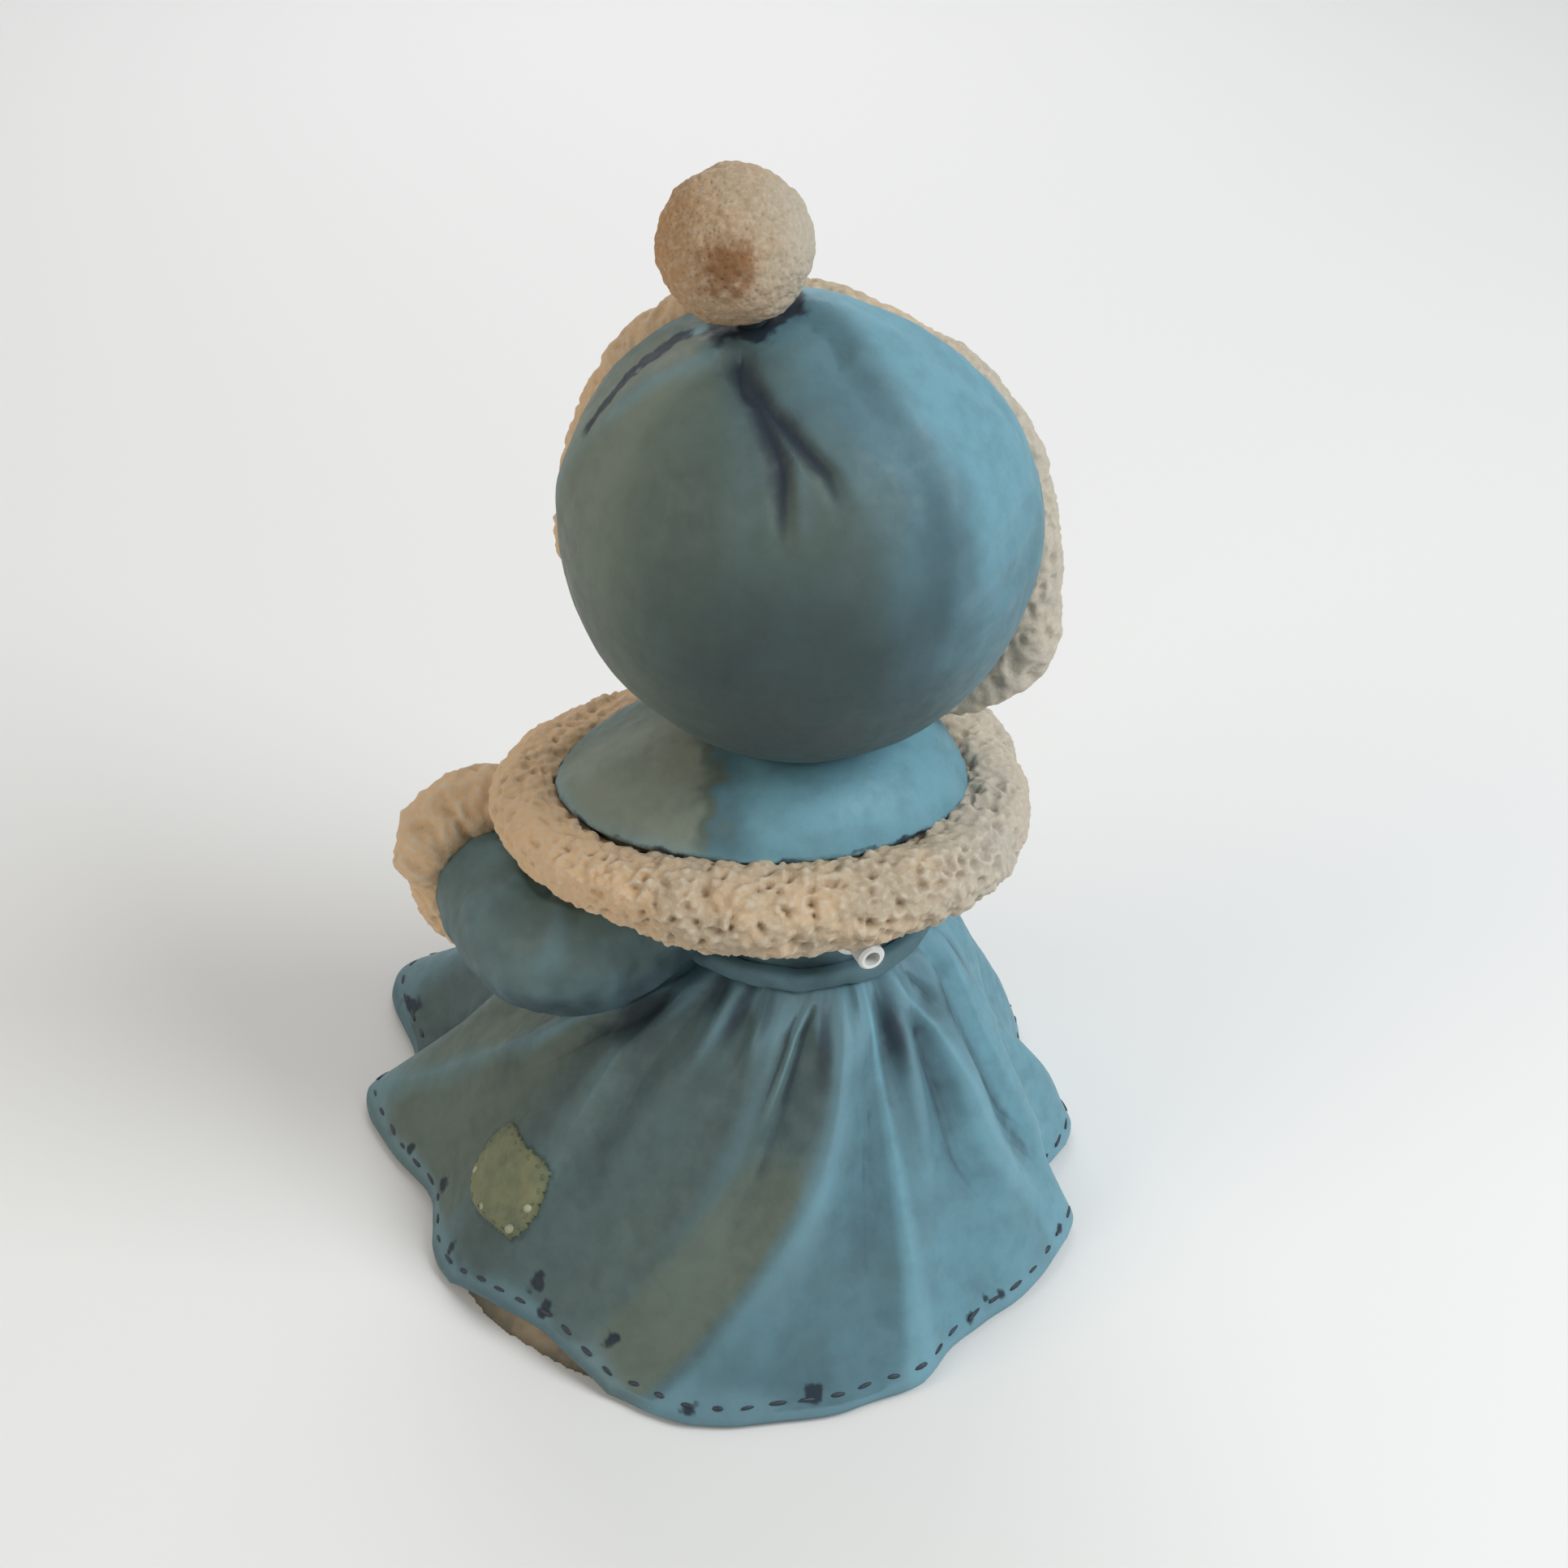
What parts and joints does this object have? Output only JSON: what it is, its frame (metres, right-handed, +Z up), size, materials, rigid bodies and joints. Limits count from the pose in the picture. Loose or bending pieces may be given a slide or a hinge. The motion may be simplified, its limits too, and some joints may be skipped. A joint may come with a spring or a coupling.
{
  "type": "bubbling figurine ornament",
  "caption": "Aquarium ornament shaped as a child in a hooded fur-trimmed coat with a wide pleated skirt; air enters a stub under the cape and bubbles out of the pompom.",
  "frame": {"origin": "centre of the plinth's flat underside, at floor level", "axes": "+Z up through the pompom, the figure faces -Y, its left arm is towards +X"},
  "size_m": [0.1089, 0.1209, 0.1597],
  "materials": {
    "painted_cloth": "cast resin, hand-painted dusty blue with a dark wash in the folds, satin clear coat",
    "painted_fur": "cast resin with a pitted, stippled surface, painted cream with a brown wash",
    "painted_patch": "cast resin, ochre paint",
    "painted_base": "cast resin, tan paint",
    "painted_skin": "cast resin, flesh paint",
    "painted_hair": "cast resin, brown paint",
    "painted_mitten": "cast resin, oatmeal paint",
    "painted_boot": "cast resin, dark brown paint",
    "white_fitting": "moulded white plastic",
    "soft_tube": "clear silicone airline, slightly milky",
    "air_stone": "porous bonded grains"
  },
  "bodies": {
    "figure": {"plinth": "painted_base", "skirt": "painted_cloth", "skirt_patch": "painted_patch", "waistband": "painted_cloth", "bodice": "painted_cloth", "left_sleeve": "painted_cloth", "left_cuff": "painted_fur", "left_mitten": "painted_mitten", "right_sleeve": "painted_cloth", "right_cuff": "painted_fur", "right_mitten": "painted_mitten", "cape": "painted_cloth", "cape_fur_trim": "painted_fur", "head": "painted_skin", "hair": "painted_hair", "hood": "painted_cloth", "hood_fur_trim": "painted_fur", "outlet_stem": "white_fitting", "air_inlet_stub": "white_fitting", "air_tube": "soft_tube", "left_boot": "painted_boot", "right_boot": "painted_boot"},
    "pompom": {"pompom_air_stone": "air_stone"}
  },
  "joints": [
    {"name": "pompom_pull", "type": "slide", "parent": "figure", "child": "pompom", "axis": [0.1954, 0.0735, 0.978], "range_m": [0, 0.009]}
  ]
}
